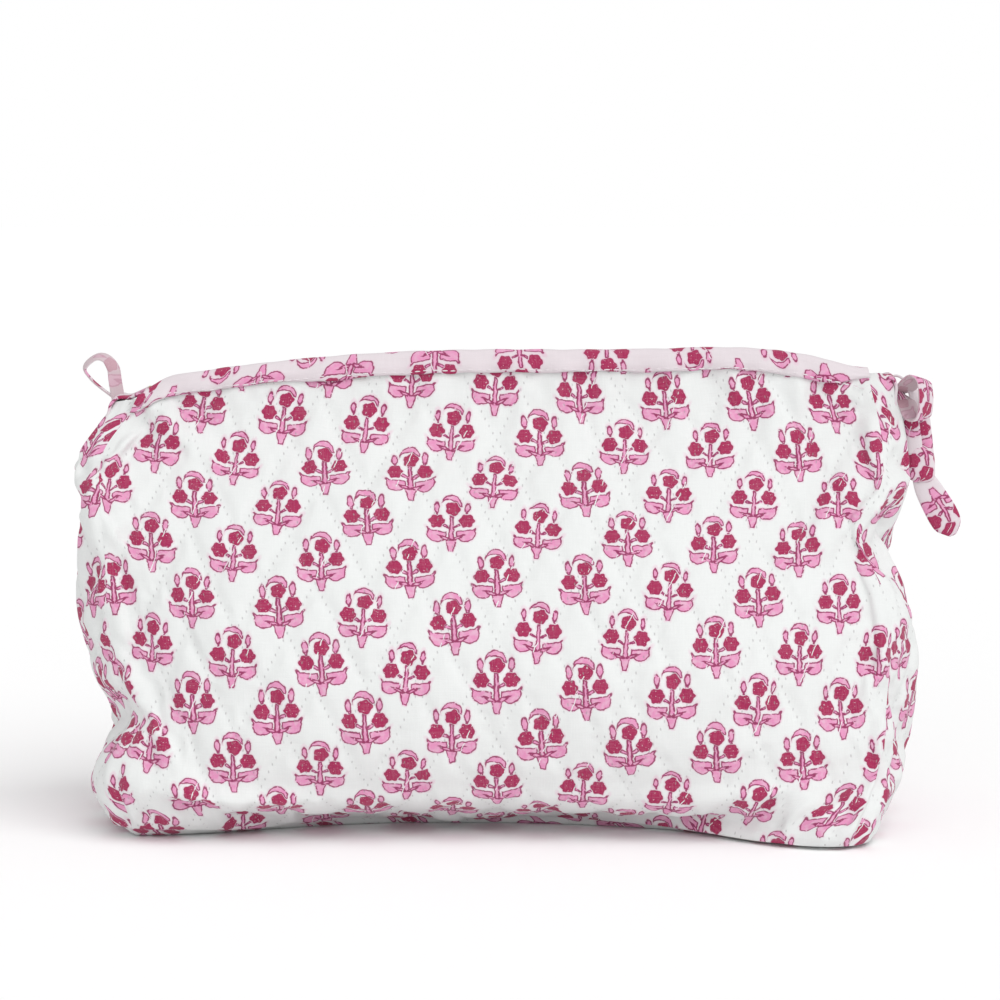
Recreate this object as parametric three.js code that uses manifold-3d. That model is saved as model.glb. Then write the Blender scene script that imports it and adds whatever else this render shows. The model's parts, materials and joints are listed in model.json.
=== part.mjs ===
// A quilted cotton makeup bag with a zip along its arched top, standing stuffed on its flat base.
// Millimetres, +Z up. The origin is the centre of the base, on the table. -Y is the front, and +X is the end
// where the slider parks when the zip is closed.
//
// The shell is five sewn panels (base, front, back and two end gussets), each of three layers: printed outer
// cloth, wadding and lining. The upright panels share one smooth surface, so that their layers stay parallel.
import * as THREE from "three";
import { mergeVertices } from "three/addons/utils/BufferGeometryUtils.js";
import Module from "manifold-3d";

const wasm = await Module();
wasm.setup();

// ---------------------------------------------------------------- driving dimensions

// Half the bag's length and depth at nine even steps from the foot of the panels to their top edge.
const HALF_LENGTHS = [127, 133, 136, 138, 139.5, 140, 139, 135, 131.5];
const HALF_DEPTHS = [46, 58.5, 65, 65.5, 59, 48, 33.5, 16.5, 8.5];

// A level cut through the bag is a superellipse: boxy at the base and at the zip, rounder where it bulges.
const SECTION_POWER = { foot: 7, bulge: 3.2, top: 8 };
const SEAM_SHARE = 0.935; // where the corner seams lie, as a share of the half length

const FOOT_HEIGHT = 1.2; // lower edge of the upright panels
const ZIP_CREST = 160; // the zip's height at mid-length
const ZIP_RADIUS = 716; // the closed zip is an arc of this radius in the XZ plane
const RIM_ABOVE_ZIP = 2.2; // the panels' raw top edge stands this far above the zip

// Each layer's span of depth under the outer surface, where the quilt isn't pressed flat.
const OUTER = [0, 0.8];
const WADDING = [1.1, 3.1];
const LINING = [3.4, 4.0];
const QUILT_DEPTH = LINING[1];
const PRESSED = 0.55; // share of that thickness left under the binding
const SEAM_GAP = 0.33; // room left at each cut edge

const BINDING_HEIGHT = 8;
const BINDING_THICKNESS = 0.6;
const TAPE_THICKNESS = 0.4;
const TAPE_EDGE = 2.9; // distance of the zip tape's inner edge from the centre line
const TAPE_STATIONS = [0.05, 0.5, 0.78]; // its foot, middle and fold, as shares of the binding's height
const LAYER_GAP = 0.3;

const TEETH = { inner: 0.15, valley: 1.0, outer: 2.6, thick: 1.4, pitch: 6, from: -117, to: 114 };
const STOP = { length: 2, height: 2.4, clear: 2.8 };

const SLIDER_X = 111; // where the slider parks
const SLIDER = { length: 11, halfWidth: 3.9, plate: 0.9, gap: 3.8, divider: 1.4 };
const BRIDGE = { length: 7, rise: 3.4, bar: 1.0, width: 2.0 };
const PULL = { length: 26, width: 5, thick: 1.1, bar: 1.2, x: -0.8, lift: 1.3 };
const PULL_EYE = { width: 3, bridgeEnd: 5, ribbonEnd: 2.4 };

const STRAP = { width: 5, gathered: 2.4, thick: 0.9, gatherFrom: 0.15, gatherTo: 0.38 };
const WRAP = { width: 8.4, thick: 4.2 };
const RIBBON_TAIL = { width: 9, thick: 1.2, slantDeg: 27 };
const LOOP = { width: 6, thick: 0.9 };
const TAB = { halfWidth: 6.5, thick: 0.9 };
const SEAM_TAPE = { depth: 5, thick: 1.4, clear: 1.3, from: 0.05, to: 0.8 };
const BASE_TAPE = { fromFoot: 8.5, fromEnd: 22 }; // how far the base seam tapes stay inside the foot line
const BASE_INSET = { outer: 1.6, wadding: 6.5, lining: 7 }; // the same for each base layer

const COLUMNS = 14; // facets along a long panel
const END_COLUMNS = 6; // facets across a gusset
const ROWS = 10; // facets up a panel; the top one is the height of the binding

// ---------------------------------------------------------------- colours

function finish(color, roughness, metalness = 0) {
  return new THREE.MeshStandardMaterial({ color, roughness, metalness });
}

const printedCloth = () => finish(0xeff1f0, 0.95);
const pinkCloth = () => finish(0xe6c3d3, 0.95);
const liningCloth = () => finish(0xf3efe9, 0.95);
const wadding = () => finish(0xfafafa, 1);
const zipCloth = () => finish(0xeef0f2, 0.9);
const zipPlastic = () => finish(0xe9e6ea, 0.45);
const zipMetal = () => finish(0xc9b27a, 0.3, 1);

// ---------------------------------------------------------------- the bag's surface

const profile = (values) => new THREE.SplineCurve(values.map((value, i) => new THREE.Vector2(i, value)));
const lengthProfile = profile(HALF_LENGTHS);
const depthProfile = profile(HALF_DEPTHS);
const halfLength = (t) => lengthProfile.getPoint(t).y;
const halfDepth = (t) => depthProfile.getPoint(t).y;

function sectionPower(t) {
  const fromFoot = THREE.MathUtils.smoothstep(t, 0, 0.35);
  const toTop = THREE.MathUtils.smoothstep(t, 0.6, 1);
  const lower = THREE.MathUtils.lerp(SECTION_POWER.foot, SECTION_POWER.bulge, fromFoot);
  return THREE.MathUtils.lerp(lower, SECTION_POWER.top, toTop);
}

// The other coordinate's share of a superellipse, from one coordinate's share.
const otherShare = (share, power) => Math.pow(1 - Math.pow(Math.abs(share), power), 1 / power);

const zipHeight = (x) => ZIP_CREST - ZIP_RADIUS + Math.sqrt(ZIP_RADIUS ** 2 - x ** 2);
const heightAt = (x, t) => THREE.MathUtils.lerp(FOOT_HEIGHT, zipHeight(x) + RIM_ABOVE_ZIP, t);

// A point of the front panel. share runs from -1 at the left seam to 1 at the right, and t up the panel.
function frontSurface(share, t) {
  const x = share * SEAM_SHARE * halfLength(t);
  const y = -halfDepth(t) * otherShare(share * SEAM_SHARE, sectionPower(t));
  return new THREE.Vector3(x, y, heightAt(x, t));
}

// A point of the right gusset. share runs from -1 at the front seam to 1 at the back.
function endSurface(share, t) {
  const power = sectionPower(t);
  const depthShare = share * otherShare(SEAM_SHARE, power);
  const x = halfLength(t) * otherShare(depthShare, power);
  return new THREE.Vector3(x, depthShare * halfDepth(t), heightAt(x, t));
}

function outwardNormal(surface, share, t) {
  const step = 1e-3;
  const low = Math.max(t - step, 0);
  const high = Math.min(t + step, 1);
  const across = surface(share + step, t).sub(surface(share - step, t));
  const up = surface(share, high).sub(surface(share, low));
  return across.cross(up).normalize();
}

// How much of the quilt's full thickness is left at height t: it thins towards the bound edge.
const BINDING_T = 1 - BINDING_HEIGHT / (ZIP_CREST + RIM_ABOVE_ZIP - FOOT_HEIGHT);
const fullness = (t) => THREE.MathUtils.lerp(1, PRESSED, THREE.MathUtils.smoothstep(t, 0.7, BINDING_T));

// A point `depth` under the surface.
function inside(surface, share, t, depth) {
  return surface(share, t).addScaledVector(outwardNormal(surface, share, t), -depth * fullness(t));
}

// ---------------------------------------------------------------- building solids

// A block of nx by ny facets whose every corner is moved to place(u, v, w), with u, v and w from 0 to 1.
// The moved axes stay right-handed, so that the block's faces still point out.
function bend(nx, ny, place) {
  const geometry = new THREE.BoxGeometry(1, 1, 1, nx, ny, 1);
  const position = geometry.getAttribute("position");
  for (let i = 0; i < position.count; i++) {
    const p = place(position.getX(i) + 0.5, position.getY(i) + 0.5, position.getZ(i) + 0.5);
    position.setXYZ(i, p.x, p.y, p.z);
  }
  matchDiagonals(geometry);
  geometry.computeVertexNormals();
  return geometry;
}

// Splits the inner face's quads along the same diagonal as the outer face's, so that the facets of two bent
// layers, one under the other, stay parallel.
function matchDiagonals(geometry) {
  const index = geometry.index.array;
  const inner = geometry.groups[5];
  for (let i = inner.start; i < inner.start + inner.count; i += 6) {
    const [a, b, d, , c] = index.slice(i, i + 5);
    index.set([a, b, c, a, c, d], i);
  }
}

// Columns lie closer together near the seams, where the section curves most.
function columnShare(u, widest) {
  const s = 2 * u - 1;
  return widest * s * (1.3 - 0.3 * s * s);
}

// The rows are even up to the binding's lower edge, and the last one is the binding's height.
const rowHeight = (v, top) => (v > 0.999 ? top : Math.min((v * ROWS * BINDING_T) / (ROWS - 1), BINDING_T));

const FRONT_EDGE = 1 - SEAM_GAP / (SEAM_SHARE * HALF_LENGTHS[0]);
const END_EDGE = 0.99;
const END_TOP = 0.958;

function frontSheet([outer, inner]) {
  return bend(COLUMNS, ROWS, (u, v, w) => {
    const depth = THREE.MathUtils.lerp(inner, outer, w);
    return inside(frontSurface, columnShare(u, FRONT_EDGE), rowHeight(v, 1), depth);
  });
}

function endSheet([outer, inner]) {
  return bend(END_COLUMNS, ROWS, (u, v, w) => {
    const depth = THREE.MathUtils.lerp(inner, outer, w);
    return inside(endSurface, columnShare(u, END_EDGE), rowHeight(v, END_TOP), depth);
  });
}

// Turns a front piece into the matching back piece, or a right end piece into the left one.
function turned(geometry) {
  return geometry.clone().rotateZ(Math.PI);
}

// A level layer of the base, with the foot's outline.
function baseSheet([bottom, top], inset) {
  const a = HALF_LENGTHS[0] - inset;
  const b = HALF_DEPTHS[0] - inset;
  const power = 2 / SECTION_POWER.foot;
  const outline = [];
  const corners = 44;
  for (let i = 0; i < corners; i++) {
    const angle = (2 * Math.PI * i) / corners;
    const c = Math.cos(angle);
    const s = Math.sin(angle);
    const x = a * Math.sign(c) * Math.abs(c) ** power;
    const y = b * Math.sign(s) * Math.abs(s) ** power;
    outline.push(new THREE.Vector2(x, y));
  }
  const options = { depth: top - bottom, bevelEnabled: false };
  const plate = new THREE.ExtrudeGeometry(new THREE.Shape(outline), options);
  return plate.translate(0, 0, bottom);
}

// A point of the bound top edge, on the panel's last row of facets: f runs from 0 at the binding's lower edge
// to 1 at the panel's top, depth goes in from the outer face, and rise goes up.
function rimPoint(share, f, depth, rise = 0) {
  const low = frontSurface(share, BINDING_T);
  const high = frontSurface(share, 1);
  const lowNormal = outwardNormal(frontSurface, share, BINDING_T);
  const highNormal = outwardNormal(frontSurface, share, 1);
  const normal = lowNormal.lerp(highNormal, f);
  return low.lerp(high, f).addScaledVector(normal, -depth).add(new THREE.Vector3(0, 0, rise));
}

const PRESSED_DEPTH = QUILT_DEPTH * PRESSED;

// A strip of cloth folded over the panel's top edge.
function bindingGeometry() {
  const steps = 6;
  return bend(COLUMNS, steps, (u, v, w) => {
    const share = columnShare(u, FRONT_EDGE);
    const clear = LAYER_GAP + w * BINDING_THICKNESS;
    const station = Math.round(v * steps);
    if (station < 2) return rimPoint(share, station / 2, -clear);
    if (station > 4) return rimPoint(share, (steps - station) / 2, PRESSED_DEPTH + clear);
    const across = (station - 2) / 2;
    return rimPoint(share, 1, THREE.MathUtils.lerp(-clear, PRESSED_DEPTH + clear, across), clear);
  });
}

// The tape is sewn behind the binding, stands up beside it and turns in to the teeth.
function tapeGeometry() {
  const steps = 3;
  const [foot, middle, fold] = TAPE_STATIONS;
  const nearest = PRESSED_DEPTH + BINDING_THICKNESS + 2 * LAYER_GAP;
  return bend(COLUMNS, steps, (u, v, w) => {
    const share = columnShare(u, FRONT_EDGE);
    const depth = nearest + (1 - w) * TAPE_THICKNESS;
    const station = Math.round(v * steps);
    if (station < 2) return rimPoint(share, station === 0 ? foot : middle, depth);
    const corner = rimPoint(share, fold, depth);
    corner.z = zipHeight(corner.x) + (w - 0.5) * TAPE_THICKNESS;
    if (station === 3) corner.y = -TAPE_EDGE;
    return corner;
  });
}

// One side's row of teeth, a zigzag edge that the other side's row fits.
function teethGeometry(phase) {
  const halfPitches = Math.round((2 * (TEETH.to - TEETH.from)) / TEETH.pitch);
  return bend(halfPitches, 1, (u, v, w) => {
    const step = Math.round(u * halfPitches);
    const x = THREE.MathUtils.lerp(TEETH.from, TEETH.to, u);
    const tip = (step + phase) % 2 === 0 ? TEETH.inner : TEETH.valley;
    return new THREE.Vector3(x, v > 0.5 ? -tip : -TEETH.outer, zipHeight(x) + (w - 0.5) * TEETH.thick);
  });
}

// A flat strip of cloth along a smooth path. across is the direction of its width; it and the width are
// either fixed or functions of the share of the path's length.
function strip(path, across, width, thick, steps) {
  const curve = new THREE.CatmullRomCurve3(path);
  const at = (value, u) => (typeof value === "function" ? value(u) : value);
  return bend(steps, 1, (u, v, w) => {
    const p = curve.getPointAt(u);
    const along = curve.getTangentAt(u);
    const side = at(across, u).clone().normalize();
    const flatSide = side.addScaledVector(along, -side.dot(along)).normalize();
    const face = along.clone().cross(flatSide);
    return p.addScaledVector(flatSide, (v - 0.5) * at(width, u)).addScaledVector(face, (w - 0.5) * thick);
  });
}

// A bound seam allowance that stands into the bag along a corner seam.
function cornerTape(side) {
  return bend(1, ROWS, (u, v, w) => {
    const t = THREE.MathUtils.lerp(SEAM_TAPE.from, SEAM_TAPE.to, v);
    const normal = outwardNormal(frontSurface, side, t);
    const along = new THREE.Vector3(0, 0, 1).cross(normal).normalize();
    const nearest = QUILT_DEPTH * fullness(t) + SEAM_TAPE.clear;
    return frontSurface(side, t)
      .addScaledVector(normal, -nearest - (1 - w) * SEAM_TAPE.depth)
      .addScaledVector(along, (u - 0.5) * SEAM_TAPE.thick);
  });
}

const slab = (x, y, z, sx, sy, sz) => new THREE.BoxGeometry(sx, sy, sz).translate(x, y, z);

// A closed geometry as a solid that can be joined to others or cut.
function solid(geometry) {
  const bare = geometry.index ? geometry.toNonIndexed() : geometry.clone();
  bare.deleteAttribute("normal");
  bare.deleteAttribute("uv");
  const merged = mergeVertices(bare, 1e-4);
  const vertProperties = new Float32Array(merged.getAttribute("position").array);
  const triVerts = new Uint32Array(merged.index.array);
  return new wasm.Manifold(new wasm.Mesh({ numProp: 3, vertProperties, triVerts }));
}

function geometryOf(made) {
  const mesh = made.getMesh();
  const geometry = new THREE.BufferGeometry();
  geometry.setAttribute("position", new THREE.BufferAttribute(mesh.vertProperties, 3));
  geometry.setIndex(new THREE.BufferAttribute(mesh.triVerts, 1));
  geometry.computeVertexNormals();
  return geometry;
}

// Joins overlapping pieces into one closed body.
const join = (pieces) => geometryOf(pieces.map(solid).reduce((sum, piece) => sum.add(piece)));

// Cuts pieces out of a body.
function cut(body, pieces) {
  return geometryOf(pieces.map(solid).reduce((rest, piece) => rest.subtract(piece), solid(body)));
}

// ---------------------------------------------------------------- slider and pull

// Built with its own origin on the zip line and X along the zip.
function sliderGeometry() {
  const plate = new THREE.Shape();
  const nose = 3;
  const half = SLIDER.length / 2;
  plate.moveTo(-half, -SLIDER.halfWidth + nose / 3);
  plate.lineTo(-half, SLIDER.halfWidth - nose / 3);
  plate.absarc(half - nose, SLIDER.halfWidth - nose, nose, Math.PI / 2, 0, true);
  plate.absarc(half - nose, nose - SLIDER.halfWidth, nose, 0, -Math.PI / 2, true);
  const options = { depth: SLIDER.plate, bevelEnabled: false, curveSegments: 5 };
  const upper = SLIDER.gap / 2;
  const top = new THREE.ExtrudeGeometry(plate, options).translate(0, 0, upper);
  const bottom = new THREE.ExtrudeGeometry(plate, options).translate(0, 0, -upper - SLIDER.plate);
  const sunk = 0.2;
  const divider = slab(half - 1.4, 0, 0, 1.8, SLIDER.divider, SLIDER.gap + sunk);
  const deck = upper + SLIDER.plate;
  const legHeight = BRIDGE.rise + sunk;
  const leg = (x) => slab(x, 0, deck - sunk + legHeight / 2, BRIDGE.bar, BRIDGE.width, legHeight);
  const legX = (BRIDGE.length - BRIDGE.bar) / 2;
  const bar = slab(0, 0, deck + BRIDGE.rise - BRIDGE.bar / 2, BRIDGE.length, BRIDGE.width, BRIDGE.bar);
  return join([top, bottom, divider, leg(-legX), leg(legX), bar]);
}

// A flat metal pull with an eye at each end. Its first cross bar, at its origin, lies under the slider's
// bridge.
function pullGeometry() {
  const half = PULL.width / 2;
  const outline = new THREE.Shape();
  outline.moveTo(-PULL.bar / 2, -half);
  outline.absarc(PULL.length - half, 0, half, -Math.PI / 2, Math.PI / 2, false);
  outline.lineTo(-PULL.bar / 2, half);
  const options = { depth: PULL.thick, bevelEnabled: false, curveSegments: 6 };
  const plate = new THREE.ExtrudeGeometry(outline, options).translate(0, 0, -PULL.thick / 2);
  const eye = (x, length) => slab(x, 0, 0, length, PULL_EYE.width, 2 * PULL.thick);
  return cut(plate, [
    eye((PULL.bar + PULL_EYE.bridgeEnd) / 2, PULL_EYE.bridgeEnd),
    eye(PULL.length - PULL.bar - PULL_EYE.ribbonEnd / 2, PULL_EYE.ribbonEnd),
  ]);
}

// ---------------------------------------------------------------- assembly

const bag = new THREE.Group();

function add(name, geometry, material, parent = bag) {
  const mesh = new THREE.Mesh(geometry, material);
  mesh.name = name;
  parent.add(mesh);
  return mesh;
}

function addSide(side, place) {
  add(`${side}_panel`, place(frontSheet(OUTER)), printedCloth());
  add(`${side}_wadding`, place(frontSheet(WADDING)), wadding());
  add(`${side}_lining`, place(frontSheet(LINING)), liningCloth());
  add(`${side}_binding`, place(bindingGeometry()), pinkCloth());
  add(`${side}_zip_tape`, place(tapeGeometry()), zipCloth());
}

addSide("front", (geometry) => geometry);
addSide("back", turned);

// Teeth and stops run the same way on both sides, so the back ones are mirrored in Y rather than turned.
const toBack = new THREE.Matrix4().makeScale(1, -1, 1);

function mirrored(geometry) {
  const copy = geometry.clone().applyMatrix4(toBack);
  const index = copy.index.array;
  for (let i = 0; i < index.length; i += 3) {
    const first = index[i];
    index[i] = index[i + 2];
    index[i + 2] = first;
  }
  copy.computeVertexNormals();
  return copy;
}

const stopX = SLIDER_X + SLIDER.length / 2 + STOP.clear;
const stopWidth = TEETH.outer - 2 * TEETH.inner;
const stopY = -TEETH.outer + stopWidth / 2;
const topStop = slab(stopX, stopY, zipHeight(stopX), STOP.length, stopWidth, STOP.height);
add("front_zip_teeth", teethGeometry(0), zipPlastic());
add("back_zip_teeth", mirrored(teethGeometry(1)), zipPlastic());
add("front_top_stop", topStop, zipMetal());
add("back_top_stop", mirrored(topStop), zipMetal());

const bottomStopX = TEETH.from - LAYER_GAP - STOP.length / 2;
const bottomStop = slab(bottomStopX, 0, zipHeight(bottomStopX), STOP.length, 2 * TEETH.outer, STOP.height);
add("bottom_stop", bottomStop, zipMetal());

for (const [side, place] of [["right", (geometry) => geometry], ["left", turned]]) {
  add(`${side}_gusset`, place(endSheet(OUTER)), printedCloth());
  add(`${side}_gusset_wadding`, place(endSheet(WADDING)), wadding());
  add(`${side}_gusset_lining`, place(endSheet(LINING)), liningCloth());
}

add("base_panel", baseSheet(OUTER, BASE_INSET.outer), printedCloth());
add("base_wadding", baseSheet(WADDING, BASE_INSET.wadding), wadding());
add("base_lining", baseSheet(LINING, BASE_INSET.lining), liningCloth());

add("front_right_seam_tape", cornerTape(1), pinkCloth());
add("front_left_seam_tape", cornerTape(-1), pinkCloth());
add("back_left_seam_tape", turned(cornerTape(1)), pinkCloth());
add("back_right_seam_tape", turned(cornerTape(-1)), pinkCloth());
const baseTapeY = HALF_DEPTHS[0] - BASE_TAPE.fromFoot;
const baseTapeZ = LINING[1] + SEAM_TAPE.clear + SEAM_TAPE.depth / 2;
const baseTapeLength = 2 * (HALF_LENGTHS[0] - BASE_TAPE.fromEnd);
for (const [side, y] of [["front", -baseTapeY], ["back", baseTapeY]]) {
  const tape = slab(0, y, baseTapeZ, baseTapeLength, SEAM_TAPE.thick, SEAM_TAPE.depth);
  add(`${side}_base_seam_tape`, tape, pinkCloth());
}

// The end tabs fold from the zip's ends over the tops of the gussets. Points are (x, z) on the right end.
const acrossBag = new THREE.Vector3(0, 1, 0);
const inPlane = (points, y) => points.map(([x, z]) => new THREE.Vector3(x, y, z));
const tabStart = SEAM_SHARE * HALF_LENGTHS[8] + 1.6;
const tabPath = inPlane(
  [[tabStart, zipHeight(tabStart) + 0.4], [129.5, 148.8], [133.4, 146], [135.2, 141], [136.6, 136]],
  0,
);
const tab = strip(tabPath, acrossBag, 2 * TAB.halfWidth, TAB.thick, 8);
add("right_zip_tab", tab, pinkCloth());
add("left_zip_tab", turned(tab), pinkCloth());

// Hanging loops. The left one stands up in an arch; the right one has flopped over.
const standingPath = inPlane(
  [[-125.8, 151.8], [-126.3, 157], [-130.8, 161.4], [-136, 157.8], [-131.8, 150.9]],
  0,
);
const standingAcross = new THREE.Vector3(-0.45, 0.89, 0);
add("left_loop", strip(standingPath, standingAcross, LOOP.width, LOOP.thick, 14), pinkCloth());
const floppedPath = inPlane(
  [
    [134.2, 148.4],
    [137.4, 153.6],
    [142.6, 154.6],
    [146.8, 149.5],
    [145.6, 142.8],
    [140.4, 142.2],
    [137.4, 146.2],
  ],
  -6.2,
);
add("right_loop", strip(floppedPath, acrossBag, LOOP.width - 0.5, LOOP.thick, 16), pinkCloth());

// Slider on the zip arc, with its pull lying towards the closed end.
const slider = new THREE.Group();
slider.position.set(SLIDER_X, 0, zipHeight(SLIDER_X));
slider.rotation.y = Math.asin(SLIDER_X / ZIP_RADIUS);
bag.add(slider);
add("slider_body", sliderGeometry(), zipMetal(), slider);

const pull = new THREE.Group();
pull.position.set(PULL.x, 0, SLIDER.gap / 2 + SLIDER.plate + PULL.lift);
slider.add(pull);
add("pull_tab", pullGeometry(), zipMetal(), pull);

// The ribbon is threaded through the pull's outer eye: a looped strap, a wrapped end and a rounded tail.
// The strap is gathered where it passes the eye, and turns to face the front where it hangs.
const rightwards = new THREE.Vector3(1, 0, 0);
const strapPath = [
  [145, 1.2, 131],
  [144, 1.2, 141],
  [141, 0.9, 148.6],
  [138.3, 0.3, 152.4],
  [136, 0, 153.4],
  [134.5, 0, 152.3],
  [134.5, 0, 151.1],
  [135.6, -0.1, 149.6],
  [138, -0.8, 146.6],
  [140.6, -1.4, 140.4],
  [141.8, -1.4, 131],
].map(([x, y, z]) => new THREE.Vector3(x, y, z));

function gathered(u) {
  return THREE.MathUtils.smoothstep(0.5 - Math.abs(u - 0.5), STRAP.gatherFrom, STRAP.gatherTo);
}

const strapAcross = (u) => rightwards.clone().lerp(acrossBag, gathered(u));
const strapWidth = (u) => THREE.MathUtils.lerp(STRAP.width, STRAP.gathered, gathered(u));
add("ribbon_strap", strip(strapPath, strapAcross, strapWidth, STRAP.thick, 24), pinkCloth());
const wrapPath = [new THREE.Vector3(143.4, 0, 130.5), new THREE.Vector3(143.9, 0, 120.4)];
add("ribbon_wrap", strip(wrapPath, rightwards, WRAP.width, WRAP.thick, 3), pinkCloth());

function tailGeometry() {
  const half = RIBBON_TAIL.width / 2;
  const reach = 19;
  const outline = new THREE.Shape();
  outline.moveTo(-half * 0.8, 0);
  outline.lineTo(half * 0.8, 0);
  outline.lineTo(half, -reach * 0.4);
  outline.absarc(0, half - reach, half, 0, Math.PI, true);
  outline.lineTo(-half, -reach * 0.4);
  const options = { depth: RIBBON_TAIL.thick, bevelEnabled: false, curveSegments: 7 };
  const flat = new THREE.ExtrudeGeometry(outline, options);
  return flat.translate(0, 0, -RIBBON_TAIL.thick / 2).rotateX(Math.PI / 2);
}

// The tail hangs aslant, towards the lower right.
const tail = add("ribbon_tail", tailGeometry(), pinkCloth());
tail.rotation.y = THREE.MathUtils.degToRad(-RIBBON_TAIL.slantDeg);
tail.position.set(144.8, 0, 118.4);

export default bag;
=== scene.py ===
import json
import math
from functools import reduce

import bmesh
import bpy
import numpy as np
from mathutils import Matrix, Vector


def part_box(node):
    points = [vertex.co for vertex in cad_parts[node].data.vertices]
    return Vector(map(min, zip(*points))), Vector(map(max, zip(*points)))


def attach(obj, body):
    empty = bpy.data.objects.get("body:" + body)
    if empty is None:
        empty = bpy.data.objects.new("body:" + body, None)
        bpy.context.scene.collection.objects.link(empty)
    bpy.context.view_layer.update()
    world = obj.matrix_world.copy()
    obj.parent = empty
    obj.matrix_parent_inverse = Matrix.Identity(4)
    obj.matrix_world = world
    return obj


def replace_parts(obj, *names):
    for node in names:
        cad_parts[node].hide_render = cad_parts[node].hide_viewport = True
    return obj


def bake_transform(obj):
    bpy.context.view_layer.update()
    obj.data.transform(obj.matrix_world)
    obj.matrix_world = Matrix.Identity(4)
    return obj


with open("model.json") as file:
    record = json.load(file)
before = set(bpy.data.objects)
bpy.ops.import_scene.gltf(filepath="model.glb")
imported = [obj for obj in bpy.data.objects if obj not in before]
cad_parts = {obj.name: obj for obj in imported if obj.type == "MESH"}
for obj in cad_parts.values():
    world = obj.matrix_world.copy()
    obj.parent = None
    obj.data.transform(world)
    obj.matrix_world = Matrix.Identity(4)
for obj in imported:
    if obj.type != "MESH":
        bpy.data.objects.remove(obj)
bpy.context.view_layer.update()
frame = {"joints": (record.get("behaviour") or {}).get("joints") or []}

MM = 0.001


def node_box(name):
    """A CAD node's lowest and highest corners, in millimetres."""
    low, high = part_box(name)
    return np.array(low) / MM, np.array(high) / MM


# ---- driving dimensions, in millimetres

# The zip is an arc about the zip_travel joint's axis.
ZIP_CREST = 160.0
ZIP_CENTRE_Z = next(j for j in frame["joints"] if j["name"] == "zip_travel")["pos_m"][2] / MM
ZIP_RADIUS = ZIP_CREST - ZIP_CENTRE_Z
FOOT = 1.2  # the sewn foot's height over the table
RIM = 1.2  # the cut rim's height over the zip
SEAM_SHARE = 0.935  # how far along the half length the corner seams stand

# Half length at each end and half depth, at nine even steps from foot to rim. The ends differ a little,
# because the bag is stuffed by hand.
HALF_LEFT = [132, 136.4, 132.8, 136.5, 140.8, 142, 143.4, 143.6, 131]
HALF_RIGHT = [127.5, 135.4, 140.2, 142.3, 142.8, 138.8, 140.4, 140.8, 136.2]
HALF_DEPTH = [46, 58.5, 65, 65.5, 59, 48, 33.5, 16.5, 8.5]
POWER_FOOT, POWER_BULGE, POWER_TOP = 7.0, 3.2, 8.0  # how square the plan is

QUILT_THICK = 1.0
LINING_THICK = 0.6
LINING_DEPTH = 3.4
GRID = 1.15  # spacing of the fine meshes

BINDING_HEIGHT = 6.0
BIND_GAP, BIND_THICK = 0.25, 0.75
PRESSED = 1.8  # the quilt's thickness inside the binding
SEAM_TAPE = (5.2, 1.6)  # width and thickness of the bindings inside
STITCH_PITCH = 17.5  # the quilting lines' spacing along a row
STITCH_RISE = 36.0
STITCH_LINE_SCALE = 15.7  # millimetres square to a stitch line per unit of a quilting coordinate


# ---- small numeric helpers

def smoothstep(low, high, x):
    t = np.clip((np.asarray(x, float) - low) / (high - low), 0, 1)
    return t * t * (3 - 2 * t)


def bump(x, centre, width):
    """A rounded bump of height 1 at centre."""
    return np.exp(-(((x - centre) / width) ** 2))


def spline(values, t):
    """Catmull-Rom through evenly spaced values, for t from 0 to 1."""
    values = np.asarray(values, float)
    last = len(values) - 1
    f = np.clip(np.asarray(t, float), 0, 1) * last
    i = np.minimum(f.astype(int), last - 1)
    f = f - i
    a, b = values[np.maximum(i - 1, 0)], values[i]
    c, d = values[i + 1], values[np.minimum(i + 2, last)]
    return b + 0.5 * f * (c - a + f * (2 * a - 5 * b + 4 * c - d + f * (3 * (b - c) + d - a)))


def hashed(ix, iy, seed):
    """Even random numbers from 0 to 1 for whole-number grid corners."""
    h = (ix * 374761393 + iy * 668265263 + seed * 974634777) & 0xFFFFFFFF
    h = ((h ^ (h >> 13)) * 1274126177) & 0xFFFFFFFF
    return ((h ^ (h >> 16)) & 0xFFFF) / 65535.0


def noise(x, y, seed=0):
    """Smooth value noise from -1 to 1, one cell per unit."""
    x, y = np.broadcast_arrays(np.asarray(x, float), np.asarray(y, float))
    ix, iy = np.floor(x).astype(np.int64), np.floor(y).astype(np.int64)
    fx, fy = x - ix, y - iy
    fx, fy = fx * fx * (3 - 2 * fx), fy * fy * (3 - 2 * fy)
    low = hashed(ix, iy, seed) * (1 - fx) + hashed(ix + 1, iy, seed) * fx
    high = hashed(ix, iy + 1, seed) * (1 - fx) + hashed(ix + 1, iy + 1, seed) * fx
    return 2 * (low * (1 - fy) + high * fy) - 1


def layered_noise(x, y, seed=0):
    octaves = ((1, 1.0), (0.5, 2.1), (0.25, 4.3))
    return sum(size * noise(rate * x, rate * y, seed + k) for k, (size, rate) in enumerate(octaves)) / 1.75


# ---- the stuffed shape

def zip_height(x):
    return ZIP_CENTRE_Z + np.sqrt(ZIP_RADIUS**2 - np.asarray(x, float) ** 2)


def zip_line(x):
    """The zip itself, which dips at its closed end."""
    return zip_height(x) - 3.6 * smoothstep(-113, -125, x)


def section_power(t):
    lower = POWER_FOOT + (POWER_BULGE - POWER_FOOT) * smoothstep(0, 0.35, t)
    return lower + (POWER_TOP - lower) * smoothstep(0.6, 1, t)


def other_share(share, power):
    return np.power(np.maximum(1 - np.power(np.abs(share), power), 0), 1 / power)


def height_at(x, t):
    return FOOT + (zip_height(x) + RIM - FOOT) * t


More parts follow.
